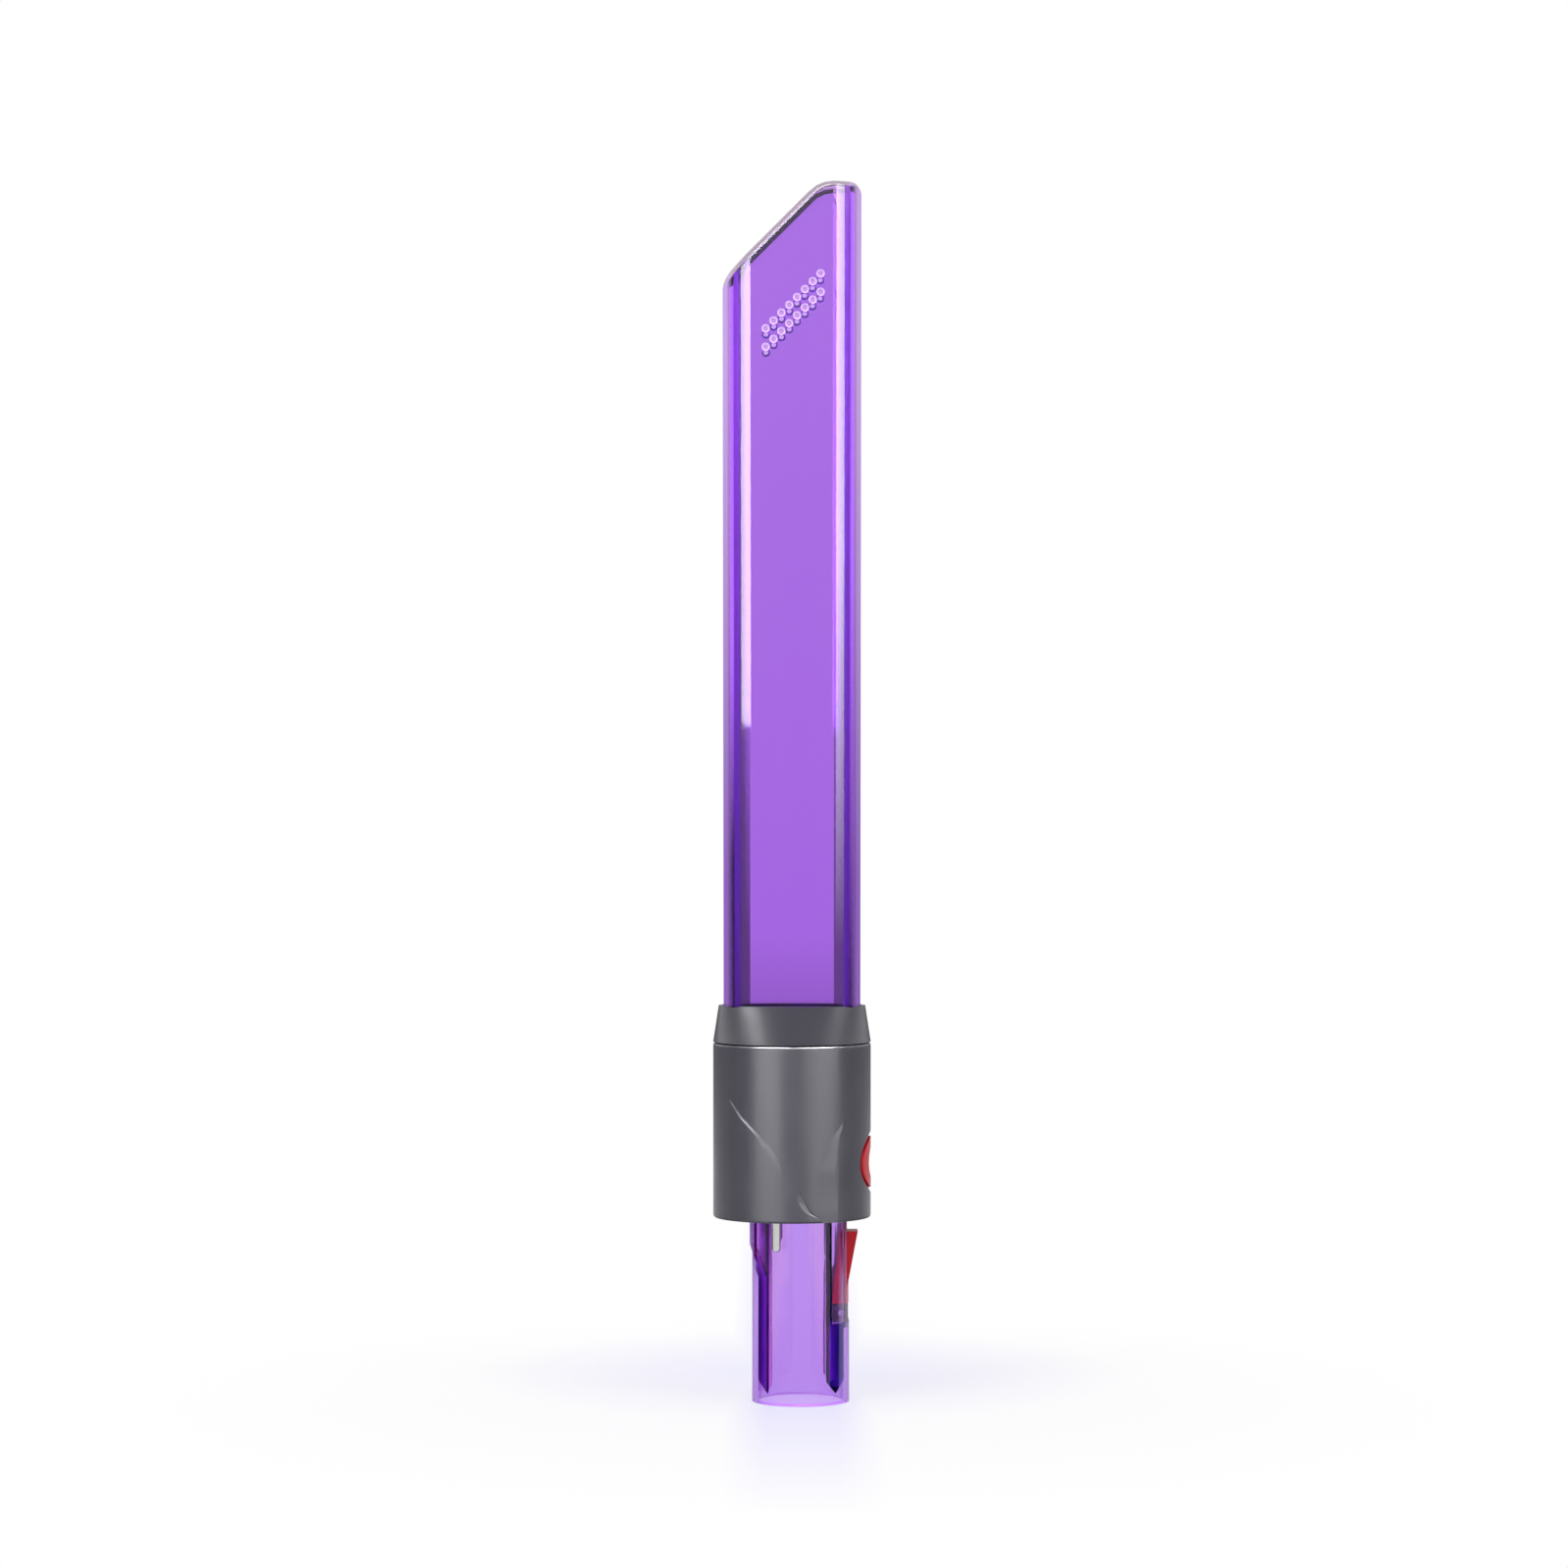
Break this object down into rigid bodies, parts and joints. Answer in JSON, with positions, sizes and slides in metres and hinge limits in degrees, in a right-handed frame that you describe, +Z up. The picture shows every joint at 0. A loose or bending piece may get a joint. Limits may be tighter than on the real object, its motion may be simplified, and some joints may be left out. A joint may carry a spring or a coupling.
{
  "type": "vacuum crevice tool",
  "caption": "Long clear purple crevice nozzle with a slanted mouth, a grey collar that holds lamps, and a clear coupling tube with a sprung red release latch.",
  "frame": {"origin": "centre of the coupling tube's lower end face, on the tube's axis", "axes": "+Z up the tool from the coupling tube to the slanted mouth, +X towards the release latch, Y across the thin side of the blade with -Y at the front"},
  "size_m": [0.0456, 0.0454, 0.351],
  "materials": {
    "clear_purple_plastic": "clear, polished",
    "grey_plastic": "satin",
    "red_plastic": "satin",
    "pivot_plastic": "satin",
    "black_plastic": "matt",
    "plated_contact": "polished",
    "steel": "drawn",
    "circuit_board": "lacquered",
    "led_resin": "satin",
    "resistor_ceramic": "matt",
    "lead_insulation": "satin",
    "seal_rubber": "matt"
  },
  "bodies": {
    "tool": {"nozzle_pipe": "clear_purple_plastic", "coupling_tube": "clear_purple_plastic", "collar_sleeve": "grey_plastic", "collar_shoulder": "grey_plastic", "collar_base_plate": "grey_plastic", "contact_carrier": "black_plastic", "contact_pin_front": "plated_contact", "contact_pin_rear": "plated_contact", "lead_front": "lead_insulation", "lead_rear": "lead_insulation", "led_board": "circuit_board", "led_1": "led_resin", "led_2": "led_resin", "led_3": "led_resin", "led_4": "led_resin", "led_5": "led_resin", "led_6": "led_resin", "resistor_1": "resistor_ceramic", "resistor_2": "resistor_ceramic", "resistor_3": "resistor_ceramic", "driver_chip": "black_plastic", "board_screws": "steel", "latch_pivot_block": "pivot_plastic", "latch_pin": "steel", "latch_spring": "steel", "duct_seal": "seal_rubber"},
    "latch": {"release_latch": "red_plastic"}
  },
  "joints": [
    {"name": "latch_pivot", "type": "hinge", "parent": "tool", "child": "latch", "pos_m": [0.0112, 0, 0.0257], "axis": [0, -1, 0], "range_deg": [0, 5], "stiffness_Nm_per_rad": 1, "springref_deg": -8.59, "deforming": ["latch_spring"]}
  ]
}
